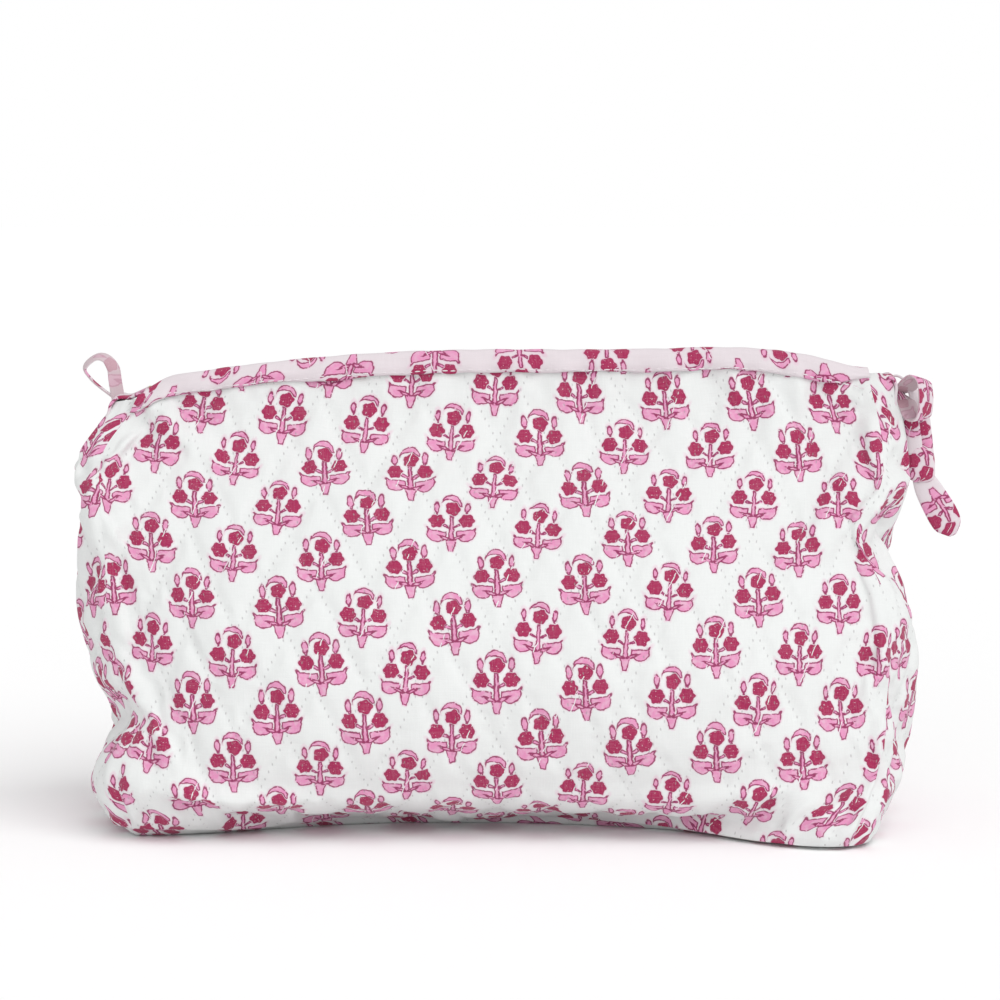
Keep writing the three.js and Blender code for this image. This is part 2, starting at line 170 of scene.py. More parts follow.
def side_surface(s, t, back=False):
    """Points of the front (or back) face; s runs from -1 at the left seam to 1 at the right, t up."""
    a = np.where(s < 0, spline(HALF_LEFT, t), spline(HALF_RIGHT, t))
    x = s * SEAM_SHARE * a
    y = spline(HALF_DEPTH, t) * other_share(s * SEAM_SHARE, section_power(t))
    return np.stack([x, y if back else -y, height_at(x, t)], -1)


def end_surface(s, t, right=True):
    """Points of an end face; s runs from -1 at the front seam to 1 at the back."""
    power = section_power(t)
    depth_share = s * other_share(SEAM_SHARE, power)
    a = spline(HALF_RIGHT if right else HALF_LEFT, t)
    x = a * other_share(depth_share, power)
    y = depth_share * spline(HALF_DEPTH, t)
    z = height_at(x, t)
    return np.stack([x if right else -x, y, z], -1)


def settle(p):
    """How hand stuffing has pushed the sewn shape about: folds, pinches and a lifted rim."""
    x, y, z = p[..., 0].copy(), p[..., 1].copy(), p[..., 2].copy()
    front = smoothstep(5, -25, y)
    # the front rolls under between its lower corners, of which the right one pushes forwards
    corner = smoothstep(0.1, 1.0, np.where(x < 0, -(x + 14) / 112, (x + 14) / 132))
    low = smoothstep(32, 0, z)
    y = y + front * low * (27 * (1 - corner) - 20 * smoothstep(50, 120, x) - 3 * smoothstep(-70, -120, x))
    z = z + front * low * (2.5 * smoothstep(-78, -118, x) + 2.0 * (1 - corner))
    # the right half of the front's rim stands higher, and so, less, does the back's
    rim = smoothstep(112, 160, z)
    z = z + rim * (6.6 * bump(x, 101, 46) * np.where(y < 0, 1.0, 0.45))
    # the rim dips at the zip's closed end and rises at its open one
    dip = 4.8 * smoothstep(-111, -125, x) - 2.8 * smoothstep(122, 134, x) * smoothstep(6, 0, y)
    z = z - rim * (dip + 2.4 * smoothstep(0, 9, y))
    # pinched creases at the ends
    x = x + 6.5 * bump(z, 42, 7.5) * smoothstep(-104, -136, x) * bump(y, -34, 40)
    x = x - 9.0 * bump(z, 103, 11) * smoothstep(108, 136, x) * bump(y, -26, 34)
    # soft folds on the front: one from the right end of the rim, one under the left end of it
    along = (x - 134) * 0.62 + (z - 150) * 0.78
    across = (x - 134) * -0.78 + (z - 150) * 0.62
    reach = smoothstep(8, -18, along) * smoothstep(-92, -50, along)
    y = y + front * reach * (2.6 * bump(across, 3, 6.5) - 1.6 * bump(across, -8, 7))
    along = (x + 124) * 0.80 - (z - 151) * 0.60
    across = (x + 124) * 0.60 + (z - 151) * 0.80
    reach = smoothstep(-4, 4, along) * smoothstep(46, 20, along)
    y = y + front * reach * (-3.6 * bump(across, -2, 4.0) + 3.4 * bump(across, 6.0, 4.5))
    # broad unevenness of the stuffing
    swell = layered_noise(x / 46, z / 40, 11)
    middle = smoothstep(8, 40, z) * smoothstep(152, 118, z)
    y = y + np.sign(y) * smoothstep(6, 22, np.abs(y)) * 2.0 * swell * middle
    return np.stack([x, y, z], -1)


# ---- grids and meshes

def even(steps):
    return np.linspace(0, 1, steps + 1)


def column_share(u):
    """Columns lie closer together near the seams, where the section curves most."""
    s = 2 * u - 1
    return s * (1.25 - 0.25 * s * s)


def unit(vectors):
    return vectors / np.maximum(np.linalg.norm(vectors, axis=-1, keepdims=True), 1e-9)


def grid_normals(p):
    return unit(np.cross(np.gradient(p, axis=1), np.gradient(p, axis=0)))


def arc_lengths(p, axis):
    step = np.linalg.norm(np.diff(p, axis=axis), axis=-1)
    total = np.cumsum(step, axis=axis)
    pad = [(0, 0), (0, 0)]
    pad[axis] = (1, 0)
    return np.pad(total, pad)


def new_object(name, points, faces, layers=None, normals=None, closed_loft=False):
    """A smooth mesh. layers gives each named texture layer one pair of numbers per point, or per face corner."""
    mesh = bpy.data.meshes.new(name)
    mesh.from_pydata((np.asarray(points, float).reshape(-1, 3) * MM).tolist(), [], [list(f) for f in faces])
    mesh.update()
    corners = np.zeros(len(mesh.loops), np.int64)
    mesh.loops.foreach_get("vertex_index", corners)
    for layer_name, values in (layers or {}).items():
        values = np.asarray(values, float).reshape(-1, 2)
        per_corner = values if len(values) == len(corners) and len(values) != len(mesh.vertices) else values[corners]
        layer = mesh.uv_layers.new(name=layer_name)
        layer.data.foreach_set("uv", per_corner.astype(np.float32).ravel())
    if closed_loft:
        work = bmesh.new()
        work.from_mesh(mesh)
        bmesh.ops.recalc_face_normals(work, faces=work.faces)
        work.to_mesh(mesh)
        work.free()
    mesh.shade_smooth()
    if normals is not None:
        normals = np.asarray(normals, float).reshape(-1, 3)
        own = np.zeros(len(mesh.vertices) * 3)
        mesh.vertices.foreach_get("normal", own)
        if (own.reshape(-1, 3) * normals).sum() < 0:
            normals = -normals
        mesh.normals_split_custom_set_from_vertices(normals.tolist())
    made = bpy.data.objects.new(name, mesh)
    bpy.context.scene.collection.objects.link(made)
    return made


def grid_faces(rows, columns, start=0, flip=False):
    """Quads of a grid of rows by columns points, stored row by row."""
    index = start + np.arange(rows * columns).reshape(rows, columns)
    quads = np.stack([index[:-1, :-1], index[:-1, 1:], index[1:, 1:], index[1:, :-1]], -1).reshape(-1, 4)
    return quads[:, ::-1] if flip else quads


def border(rows, columns):
    """The outline of a grid of points, anticlockwise seen from outside."""
    index = np.arange(rows * columns).reshape(rows, columns)
    return np.concatenate([index[0, :-1], index[:-1, -1], index[-1, :0:-1], index[:0:-1, 0]])


def sheet_object(name, outer, thick, normals, layers, part=slice(None)):
    """A sheet of that thickness whose outer face is the grid, or those columns of it."""
    outer, normals = outer[:, part], normals[:, part]
    rows, columns = outer.shape[:2]
    count = rows * columns
    edge = border(rows, columns)
    following = np.roll(edge, -1)
    walls = np.stack([edge, edge + count, following + count, following], -1)
    faces = np.concatenate([grid_faces(rows, columns), grid_faces(rows, columns, count, True), walls])
    points = np.concatenate([outer.reshape(-1, 3), (outer - normals * thick).reshape(-1, 3)])
    facing = np.concatenate([normals.reshape(-1, 3), -normals.reshape(-1, 3)])
    doubled = {key: np.tile(value[:, part].reshape(-1, 2), (2, 1)) for key, value in layers.items()}
    return new_object(name, points, faces, doubled, facing)


def ring_faces(count, size):
    """Quads between rings of points, and a cap on the first and last ring."""
    index = np.arange(count * size).reshape(count, size)
    following = np.roll(index, -1, axis=1)
    quads = np.stack([index[:-1], following[:-1], following[1:], index[1:]], -1).reshape(-1, 4)
    return quads.tolist() + [index[0][::-1].tolist(), index[-1].tolist()]


def loft_normals(sections):
    around = np.roll(sections, -1, axis=1) - np.roll(sections, 1, axis=1)
    return unit(np.cross(around, np.gradient(sections, axis=0)))


def lengths_round(sections):
    """The length round each ring to each of its points, and back to the first."""
    ring = np.linalg.norm(np.roll(sections, -1, axis=1) - sections, axis=-1)
    return np.concatenate([np.zeros((len(sections), 1)), np.cumsum(ring, axis=1)], axis=1)


def loft_object(name, sections, print_at=(0.0, 0.0), fabric=None, normals=None):
    """A closed skin round rings of points. Unless fabric is given, its fabric runs round and along the rings."""
    if fabric is None:
        step = np.linalg.norm(np.diff(sections.mean(axis=1), axis=0), axis=-1)
        along = np.concatenate([[0], np.cumsum(step)])
        around = lengths_round(sections)
        fabric = np.stack(np.broadcast_arrays(around, along[:, None]), -1) + print_at
    a, b, c, d = fabric[:-1, :-1], fabric[:-1, 1:], fabric[1:, 1:], fabric[1:, :-1]
    corners = np.concatenate([np.stack([a, b, c, d], -2).reshape(-1, 2), fabric[0, :-1][::-1], fabric[-1, :-1]])
    faces = ring_faces(*sections.shape[:2])
    return new_object(name, sections, faces, {"fabric": corners}, normals, closed_loft=True)


def merge_lofts(name, parts):
    """Several alike lofts as one object."""
    count, size = parts[0].shape[:2]
    alike = ring_faces(count, size)
    faces = [[corner + k * count * size for corner in face] for k in range(len(parts)) for face in alike]
    points = np.concatenate([part.reshape(-1, 3) for part in parts])
    return new_object(name, points, faces, {"fabric": points[:, [0, 2]]}, closed_loft=True)


def ring_shape(width, thick, points=20, boxiness=3.2):
    """Points round a rounded rectangle, as offsets across and through it."""
    angle = np.linspace(0, 2 * math.pi, points, endpoint=False)
    c, s = np.cos(angle), np.sin(angle)
    across = np.sign(c) * np.abs(c) ** (2 / boxiness) * width / 2
    through = np.sign(s) * np.abs(s) ** (2 / boxiness) * thick / 2
    return across, through


def band_sections(path, across, width, thick, steps=48, points=20, boxiness=3.2):
    """Rings along a smooth path. across, width and thick are given at each point of the path, or once."""
    path = np.asarray(path, float)

    def follow(values, at):
        return np.stack([spline(values[:, k], at) for k in range(3)], -1)

    fine = np.linspace(0, 1, 400)
    length = np.concatenate([[0], np.cumsum(np.linalg.norm(np.diff(follow(path, fine), axis=0), axis=-1))])
    at = np.interp(np.linspace(0, length[-1], steps + 1), length, fine)
    place = follow(path, at)
    along = unit(np.gradient(place, axis=0))
    across = np.asarray(across, float)
    if across.ndim == 1:
        across = np.repeat(across[None], 2, axis=0)
    side = follow(across, at)
    side = unit(side - along * (side * along).sum(-1, keepdims=True))
    face = np.cross(along, side)
    width, thick = (spline(np.broadcast_to(size, np.shape(size) or (2,)), at) for size in (width, thick))
    ex, ey = ring_shape(1.0, 1.0, points, boxiness)
    spread = side[:, None] * (ex[None] * width[:, None])[..., None]
    return place[:, None] + spread + face[:, None] * (ey[None] * thick[:, None])[..., None]


def sample_rows(grid, row):
    """A grid's points at a fractional row number for each column."""
    row = np.clip(row, 0, grid.shape[0] - 1)
    low = np.minimum(np.floor(row).astype(int), grid.shape[0] - 2)
    share = (row - low)[:, None]
    columns = np.arange(grid.shape[1])
    return grid[low, columns] * (1 - share) + grid[low + 1, columns] * share


# ---- materials

class Value:
    """A shader node's output, which takes part in sums with numbers and other outputs."""

    def __init__(self, tree, socket):
        self.tree, self.socket = tree, socket

    def __add__(self, other):
        return self.tree.math("ADD", self, other)

    def __sub__(self, other):
        return self.tree.math("SUBTRACT", self, other)

    def __rsub__(self, other):
        return self.tree.math("SUBTRACT", other, self)

    def __mul__(self, other):
        return self.tree.math("MULTIPLY", self, other)

    def __neg__(self):
        return self * -1.0

    def __abs__(self):
        return self.tree.math("ABSOLUTE", self)


class Tree:
    """A short way to write shader nodes."""

    def __init__(self, name):
        self.material = bpy.data.materials.new(name)
        self.material.use_nodes = True
        self.nodes = self.material.node_tree.nodes
        self.shader = self.nodes["Principled BSDF"]

    def fill(self, node, values):
        """Gives a node's inputs, by number or name, a constant or another node's output."""
        for key, value in values.items():
            if isinstance(value, Value):
                self.material.node_tree.links.new(value.socket, node.inputs[key])
            elif value is not None:
                node.inputs[key].default_value = value

    def node(self, kind, inputs, give=0, **settings):
        """Adds a node and returns the output, or outputs, that give names."""
        node = self.nodes.new("ShaderNode" + kind)
        for key, value in settings.items():
            setattr(node, key, value)
        self.fill(node, inputs)
        if isinstance(give, tuple):
            return [Value(self, node.outputs[key]) for key in give]
        return Value(self, node.outputs[give])

    def math(self, operation, *values):
        return self.node("Math", dict(enumerate(values)), operation=operation)

    def least(self, *values):
        return reduce(lambda a, b: self.math("MINIMUM", a, b), values)

    def most(self, *values):
        return reduce(lambda a, b: self.math("MAXIMUM", a, b), values)

    def ramp(self, value, low, high, to_low=0.0, to_high=1.0):
        """A smooth step from to_low at low to to_high at high."""
        inputs = {"Value": value, "From Min": low, "From Max": high, "To Min": to_low, "To Max": to_high}
        return self.node("MapRange", inputs, interpolation_type="SMOOTHSTEP")

    def uv(self, name):
        return self.node("UVMap", {}, uv_map=name)

    def split(self, vector):
        return self.node("SeparateXYZ", {0: vector}, (0, 1, 2))

    def join(self, x, y, z=0.0):
        return self.node("CombineXYZ", {0: x, 1: y, 2: z})

    def vector(self, operation, a, b=None, scale=None):
        give = "Value" if operation == "LENGTH" else "Vector"
        return self.node("VectorMath", {0: a, 1: b, "Scale": scale}, give, operation=operation)

    def noise(self, vector, scale, detail, give="Fac"):
        return self.node("TexNoise", {"Vector": vector, "Scale": scale, "Detail": detail}, give)

    def off_whole(self, value):
        """How far a value is from the nearest whole number."""
        return abs(value - self.math("ROUND", value))

    def ellipse(self, point, centre, radii, turn=0.0):
        """Distance outside an ellipse, roughly in millimetres, negative inside."""
        place = {"Location": (*centre, 0), "Rotation": (0, 0, math.radians(turn)), "Scale": (*radii, 1)}
        share = self.vector("LENGTH", self.node("Mapping", {"Vector": point, **place}, vector_type="TEXTURE"))
        return self.math("MULTIPLY_ADD", share, min(radii), -min(radii))

    def mix(self, share, a, b):
        return self.node("Mix", {"Factor": share, "A": a, "B": b}, "Result", data_type="RGBA")

    def finish(self, colour, roughness, height, strength, distance, **others):
        """Connects the surface: its colour, roughness, fine relief and any other inputs."""
        relief = self.node("Bump", {"Height": height, "Strength": strength, "Distance": distance})
        self.fill(self.shader, {"Base Color": colour, "Roughness": roughness, "Normal": relief})
        self.fill(self.shader, others)
        return self.material


def linear(r, g, b):
    """A colour given as 0 to 255 display values, as a renderer's linear colour."""
    def one(c):
        c = c / 255
        return c / 12.92 if c <= 0.04045 else ((c + 0.055) / 1.055) ** 2.4
    return one(r), one(g), one(b), 1.0


def shaded(colour, share):
    return (*(c * share for c in colour[:3]), 1)


GROUND = linear(227, 229, 228)
TRIM_GROUND = linear(220, 211, 215)
PINK = linear(221, 144, 184)
RASPBERRY = linear(164, 45, 86)
OUTLINE = linear(138, 33, 82)
# grey painted into the quilting's needle holes, as the shade in them
NEEDLE_HOLE_SHADE = linear(160, 156, 158)

REPEAT_X, REPEAT_Y = 29.4, 36.4
ROW_SLOPE = 0.092
SPRIG_HEIGHT = 22.0
INK_EDGE = 0.14  # half the width over which ink fades out
LINE_HALF = 0.19  # half the outline's width
THREAD_PITCH = 0.52
HOLES_PER_UNIT = 7.0  # needle holes along a stitch line per unit of a quilting coordinate
HOLE_SPACING = 2.86


def sprig_masks(tree, point):
    """Where the block-printed sprig has pink, raspberry and dark outline ink. point is in fabric millimetres."""
    u, v, _ = tree.split(point)
    row = v + u * ROW_SLOPE

    def nearest(shift):
        cell_x = tree.math("ROUND", tree.math("MULTIPLY_ADD", u, 1 / REPEAT_X, -shift))
        cell_y = tree.math("ROUND", tree.math("MULTIPLY_ADD", row, 1 / REPEAT_Y, -shift))
        dx = u - (cell_x + shift) * REPEAT_X
        dy = row - (cell_y + shift) * REPEAT_Y
        reach = abs(dx * (2 / REPEAT_X)) + abs(dy * (2 / REPEAT_Y))
        return tree.join(dx, dy), tree.join(cell_x, cell_y, shift), reach

    place_a, cell_a, reach_a = nearest(0.0)
    place_b, cell_b, reach_b = nearest(0.5)
    use_b = tree.math("LESS_THAN", reach_b, reach_a)
    cell = tree.mix(use_b, cell_a, cell_b)
    chance, chances = tree.node("TexWhiteNoise", {"Vector": cell}, ("Value", "Color"), noise_dimensions="3D")
    dx, dy, _ = tree.split(tree.mix(use_b, place_a, place_b))
    middle_grey = (0.5, 0.5, 0.5)
    wobble = tree.vector("SUBTRACT", tree.noise(point, 0.55, 2, "Color"), middle_grey)
    jitter = tree.vector("SUBTRACT", chances, middle_grey)
    motif = tree.vector("ADD", tree.join(dx, dy - dx * ROW_SLOPE), tree.vector("SCALE", wobble, scale=1.1))
    motif = tree.vector("ADD", motif, tree.vector("MULTIPLY", jitter, (1.1, 1.0, 0.0)))
    turned = {"Vector": motif, "Angle": tree.math("MULTIPLY_ADD", chance, 0.16, -0.08)}
    motif = tree.node("VectorRotate", turned, rotation_type="Z_AXIS")
    motif = tree.vector("ADD", motif, (0.0, SPRIG_HEIGHT / 2, 0.0))
    x, y, _ = tree.split(motif)
    side = abs(x)
    folded = tree.join(side, y)

    trunk = tree.most(side - (y * 0.27 + 0.75), -y, y - 4.9)
    stalk = tree.most(side - (y * -0.045 + 1.2), y - 13.7, 4.0 - y)
    root = tree.ellipse(folded, (2.0, 4.9), (1.9, 0.62), 20)
    branch = tree.ellipse(folded, (2.3, 9.7), (2.3, 0.5), 27)
    leaf = tree.most(tree.ellipse(folded, (4.9, 6.5), (3.3, 3.05)), y - (side * 0.1 + 7.2))
    tip = tree.ellipse(folded, (7.6, 7.7), (1.2, 0.42), 52)
    bud = tree.ellipse(folded, (5.2, 16.5), (0.95, 2.1), -4)
    neck = tree.ellipse(folded, (5.0, 14.2), (0.35, 0.9))
    outer_curl = tree.ellipse(motif, (-0.1, 17.7), (3.5, 3.6))
    inner_curl = tree.ellipse(motif, (-1.0, 17.1), (2.9, 2.3))
    curl = tree.most(outer_curl, -inner_curl, 17.2 - y)

    def blossom(centre_x, centre_y, from_point, lobes, radius):
        local = tree.vector("SUBTRACT", from_point, (centre_x, centre_y, 0.0))
        lx, ly, _ = tree.split(local)
        petals = tree.math("COSINE", tree.math("ARCTAN2", ly, lx) * lobes)
        return tree.vector("LENGTH", local) - (petals * 0.2 + radius)

    blooms = tree.least(blossom(5.1, 11.3, folded, 6.0, 2.55), blossom(0.3, 16.1, motif, 5.0, 2.5))
    greens = tree.least(trunk, stalk, root, branch, leaf, tip, bud, neck, curl)
    greens = tree.most(greens, 0.3 - blooms)

    # a hair on the block leaves an unprinted scratch across some sprigs
    _, chance_y, chance_z = tree.split(chances)
    slant = x - (y * 0.42 + (chance_y * 9.0 - 7.6))
    bare = tree.ramp(abs(slant), 0.24, 0.1) * tree.ramp(tree.noise(point, 0.35, 0), 0.44, 0.5)
    kept = 1.0 - bare * tree.math("GREATER_THAN", chance_z, 0.35)
    bled = tree.ramp(tree.least(greens, blooms), 0.8, 0.1, 0.0, 0.3)
    patch = tree.ramp(tree.noise(point, 0.5, 3), 0.3, 0.6, 0.72, 1.0)
    pink = tree.most(tree.ramp(greens, INK_EDGE, -INK_EDGE) * patch, bled)
    # the outline block never lands exactly on the colour block
    slip = (chance - 0.5) * 0.3
    inner_lines = (tree.most(abs(shape + inset), greens) for shape, inset in ((stalk, 0.25), (root, 0.1)))
    edges = tree.least(abs(greens + 0.1 + slip), *inner_lines)
    vein = tree.ellipse(folded, (3.4, 5.7), (1.5, 0.3), 12)
    broken = tree.ramp(tree.noise(point, 0.8, 1), 0.3, 0.38)
    outline = tree.ramp(tree.least(edges - LINE_HALF, vein), 0.12, -0.08) * broken
    # petals meet in darker lines, and a few gaps show the ground
    crease = tree.ramp(abs(tree.noise(point, 1.5, 0) - 0.5), 0.05, 0.01)
    gap = tree.ramp(tree.noise(point, 1.3, 1), 0.66, 0.72)
    ink = tree.ramp(blooms, INK_EDGE, -INK_EDGE) * (1.0 - gap * 0.6)
    dark = ink * (crease * 0.45 + tree.ramp(blooms, -0.45, -0.05, 0.0, 0.5))
    return pink * kept, ink * kept, tree.most(outline, dark) * kept


def cloth_material(name, ground, printed=1.0, quilted=False):
    """Plain-weave cotton, printed or not; quilted cloth also shows its rows of needle holes, sunk in and greyed with
    painted shade.
    """
    tree = Tree(name)
    point = tree.uv("fabric")
    x, y, _ = tree.split(point)
    warp = tree.noise(tree.join(x * 2.2, y * 0.16), 1.0, 2)
    weft = tree.noise(tree.join(x * 0.16, y * 2.2), 1.0, 2)
    threads = (warp + weft) * 0.5
    blotch = tree.ramp(tree.noise(point, 0.045, 3), 0.3, 0.7, 0.0, 0.35)
    colour = tree.mix(blotch, ground, shaded(ground, 0.965))
    colour = tree.mix(tree.ramp(threads, 0.42, 0.6, 0.16, 0.0), colour, shaded(ground, 0.86))
    if printed:
        pink, ink, outline = sprig_masks(tree, point)
        grain = tree.ramp(threads, 0.38, 0.55, 0.93 * printed, printed)
        for share, dye in ((pink * grain, PINK), (ink * grain, RASPBERRY), (outline * (0.9 * printed), OUTLINE)):
            colour = tree.mix(share, colour, dye)
    weave = [tree.math("SINE", place * (2 * math.pi / THREAD_PITCH)) for place in (x, y)]
    height = threads * 1.6 + weave[0] * weave[1] * 0.22
    if quilted:
        a, b, _ = tree.split(tree.uv("quilting"))

        def holes(line, along):
            off_hole = tree.off_whole(along * HOLES_PER_UNIT) * HOLE_SPACING
            return tree.vector("LENGTH", tree.join(tree.off_whole(line) * STITCH_LINE_SCALE, off_hole))

        mark = tree.ramp(tree.least(holes(a, b), holes(b, a)), 0.48, 0.18)
        shown = tree.ramp(tree.noise(point, 0.3, 1), 0.35, 0.5, 0.35, 1.0)
        # painted shade: the needle holes are greyed where they sink in
        colour = tree.mix(mark * shown * 0.5, colour, NEEDLE_HOLE_SHADE)
        height = height - mark * 2.6
    roughness = tree.ramp(threads, 0.3, 0.7, 0.97, 0.86)
    cotton = {"Sheen Weight": 0.12, "Sheen Roughness": 0.6, "Specular IOR Level": 0.15}
    return tree.finish(colour, roughness, height, 0.35, 0.0002, **cotton)


QUILT_CLOTH = cloth_material("printed_quilt", GROUND, quilted=True)
TRIM_CLOTH = cloth_material("printed_trim", TRIM_GROUND)
LINING_CLOTH = cloth_material("lining_cotton", linear(238, 233, 228), printed=0.0, quilted=True)
TAPE_CLOTH = cloth_material("zip_tape", linear(236, 236, 238), printed=0.0)
# a greyer, faintly printed cloth for one face of each loop, darker than the trim
GREYER_FACE_CLOTH = cloth_material("trim_greyer_face", linear(203, 185, 190), printed=0.3)


def plain_material(name, colour, roughness, metallic=0.0, scratch=0.0):
    """A smooth material with a little unevenness in its finish."""
    tree = Tree(name)
    place = tree.node("TexCoord", {}, "Object")
    patch = tree.noise(place, 900, 3)
    uneven = tree.mix(tree.ramp(patch, 0.3, 0.7, 0, 0.3), colour, shaded(colour, 0.7))
    rough = tree.ramp(patch, 0.3, 0.7, roughness, roughness + 0.12)
    return tree.finish(uneven, rough, tree.noise(place, 2500, 2), scratch, 0.00005, Metallic=metallic)


THREAD = plain_material("thread", linear(226, 219, 222), 0.8, scratch=0.3)
TEETH_PLASTIC = plain_material("coil_teeth", linear(236, 232, 230), 0.35, scratch=0.1)
BRASS = plain_material("brass", linear(201, 160, 92), 0.28, 1.0, 0.3)


def dress(made, material, *nodes):
    """Gives a piece its material, in place of the CAD nodes it stands for."""
    made.data.materials.append(material)
    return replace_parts(made, *nodes) if nodes else made


# ---- panels

FRONT_WIDE, END_WIDE, TALL = 268, 96, 170
FOOT_ROLL = 14  # how far in from its edge the base comes down to the table
OFF_TABLE = 0.15
PANELS = {
    "front": (lambda s, t: side_surface(s, t), FRONT_WIDE),
    "back": (lambda s, t: side_surface(-s, t, back=True), FRONT_WIDE),
    "right_gusset": (lambda s, t: end_surface(s, t), END_WIDE),
    "left_gusset": (lambda s, t: end_surface(-s, t, right=False), END_WIDE),
}


def panel_grid(name, spacing):
    surface, wide = PANELS[name]
    columns = int(round(wide / spacing / 2)) * 2
    rows = int(round(TALL / spacing))
    u, t = np.meshgrid(even(columns), even(rows))
    s = column_share(u)
    return s, t, settle(surface(s, t))


def coons(front, back, left, right):
    """Fills the base between its four edges. Columns run to the right and rows to the back."""
    q = even(len(front) - 1)[None, :, None]
    r = even(len(left) - 1)[:, None, None]
    across = (1 - r) * front[None] + r * back[None]
    deep = (1 - q) * left[:, None] + q * right[:, None]
    corners = (1 - r) * ((1 - q) * front[0] + q * front[-1]) + r * ((1 - q) * back[0] + q * back[-1])
    return across + deep - corners


def base_grid(grids):
    """The base between the other panels' lowest rows, resting on the table, seen from below."""
    filled = coons(grids["front"][0], grids["back"][0, ::-1], grids["left_gusset"][0, ::-1], grids["right_gusset"][0])
    rows, columns = filled.shape[:2]
    r, q = np.meshgrid(even(rows - 1), even(columns - 1), indexing="ij")
    inside = np.minimum(np.minimum(q, 1 - q) * 2 * HALF_LEFT[0], np.minimum(r, 1 - r) * 2 * HALF_DEPTH[0])
    filled[..., 2] *= 1 - smoothstep(0, FOOT_ROLL, inside)
    filled[..., 2] = np.maximum(filled[..., 2], OFF_TABLE)
    return filled[:, ::-1]


# ---- the cloth hangs over its stuffing

def spline_matrix(count, t):
    return np.stack([spline(row, t) for row in np.eye(count)], -1)


def resample(grid, rows, columns):
    """The grid's values on another number of rows and columns."""
    up = spline_matrix(grid.shape[0], rows)
    over = spline_matrix(grid.shape[1], columns)
    return np.einsum("ri,cj,ijk->rck", up, over, grid)


COARSE = 6.5  # spacing of the simulated mesh
SIM_FRAMES = 32
MOST_MOVE = 6.0
COTTON = {
    "quality": 8, "mass": 0.25, "tension_stiffness": 14, "compression_stiffness": 14, "shear_stiffness": 5,
    "bending_stiffness": 0.6, "air_damping": 2, "shrink_min": -0.03, "use_pressure": True,
    "uniform_pressure_force": 1.4,
}


def hang_cloth():
    """Sews the coarse panels into one shell, lets it slump over its stuffing, and gives each panel's movement."""
    grids = {name: panel_grid(name, COARSE)[2] for name in PANELS}
    grids["base"] = base_grid(grids)
    flat = np.concatenate([grid.reshape(-1, 3) for grid in grids.values()])
    _, first, which = np.unique(np.round(flat, 2), axis=0, return_index=True, return_inverse=True)
    which = which.ravel()
    faces, pinned, start = [], set(), 0
    for name, grid in grids.items():
        rows, columns = grid.shape[:2]
        faces.append(which[grid_faces(rows, columns, start)])
        held = np.arange(rows * columns) if name == "base" else border(rows, columns)
        pinned.update(which[start + held].tolist())
        start += rows * columns
    rest = flat[first]
    shell = new_object("shell", rest, np.concatenate(faces))
    group = shell.vertex_groups.new(name="sewn")
    group.add(sorted(pinned), 1.0, "REPLACE")
    cloth = shell.modifiers.new("cloth", "CLOTH")
    for key, value in COTTON.items():
        setattr(cloth.settings, key, value)
    cloth.settings.vertex_group_mass = group.name
    cloth.collision_settings.use_collision = False
    cloth.point_cache.frame_end = SIM_FRAMES
    scene = bpy.context.scene
    for number in range(1, SIM_FRAMES + 1):
        scene.frame_set(number)
    hung = shell.evaluated_get(bpy.context.evaluated_depsgraph_get()).to_mesh()
    moved = np.zeros(len(hung.vertices) * 3)
    hung.vertices.foreach_get("co", moved)
    moved = moved.reshape(-1, 3) / MM - rest
    scene.frame_set(1)
    mesh = shell.data
    bpy.data.objects.remove(shell)
    bpy.data.meshes.remove(mesh)
    if not np.isfinite(moved).all():
        moved[:] = 0
    size = np.linalg.norm(moved, axis=-1, keepdims=True)
    moved *= MOST_MOVE * np.tanh(size / MOST_MOVE) / np.maximum(size, 1e-9)
    result, start = {}, 0
    for name, grid in grids.items():
        count = grid.shape[0] * grid.shape[1]
        result[name] = moved[which[start:start + count]].reshape(grid.shape)
        start += count
    return result


hung = hang_cloth()


# ---- quilting

def quilting_coordinates(u, v, seed):
    a = u / STITCH_PITCH - v / STITCH_RISE + 0.055 * noise(u / 38, v / 38, seed)
    b = u / STITCH_PITCH + v / STITCH_RISE + 0.055 * noise(u / 41, v / 35, seed + 7)
    return np.stack([a, b], -1)


def quilting_relief(quilt, u, v, seed):
    """Stitch lines pull the cloth in, and the wadding puffs it out between them."""
    off = np.abs(quilt - np.round(quilt)) * STITCH_LINE_SCALE
    groove = bump(off, 0, 2.6).max(axis=-1) * (1 + 0.4 * noise(u / 3.2, v / 3.2, seed))
    tug = bump(off, 0, 7).max(axis=-1)
    crinkle = 0.15 * layered_noise(u / 7.5, v / 7.5, seed + 3)
    crinkle += 0.22 * tug * noise(u / 2.7 + 0.4 * v / 2.7, v / 8.5, seed + 5)
    return 0.35 + crinkle - groove


def seam_relief(s, t, wide, seed):
    """The cloth is drawn in along its sewn edges and puckers beside them."""
    from_side = (1 - np.abs(s)) * wide / 2
    from_foot = t * TALL
    near = np.minimum(from_side, from_foot)
    along = np.where(from_side < from_foot, t * TALL, s * wide / 2)
    pucker = bump(near, 0, 9.0) * (1 - bump(near, 0, 1.5))
    ridge = 0.45 * (bump(near, 3.2, 2.2) - bump(near, 0, 1.5))
    return ridge + 0.5 * pucker * noise(along / 3.6, near / 11.0, seed)


# Where each panel's cloth was cut from the printed length.
PRINT_AT = {"front": (0.2, 16.7), "back": (9.0, 3.0), "right_gusset": (4.0, 12.0), "left_gusset": (2.0, 22.0)}
SEAM_REACH = 3.0  # how far from a seam its panels' directions differ from their own
HEM, RIM_HEM = 7, 10  # how near a seam, and the rim, the quilting fades out

panels = {}
for name in PANELS:
    s, t, smooth = panel_grid(name, GRID)
    if hung:
        smooth = smooth + resample(hung[name], t[:, 0], even(t.shape[1] - 1))
    panels[name] = {"s": s, "t": t, "smooth": smooth, "normals": grid_normals(smooth)}

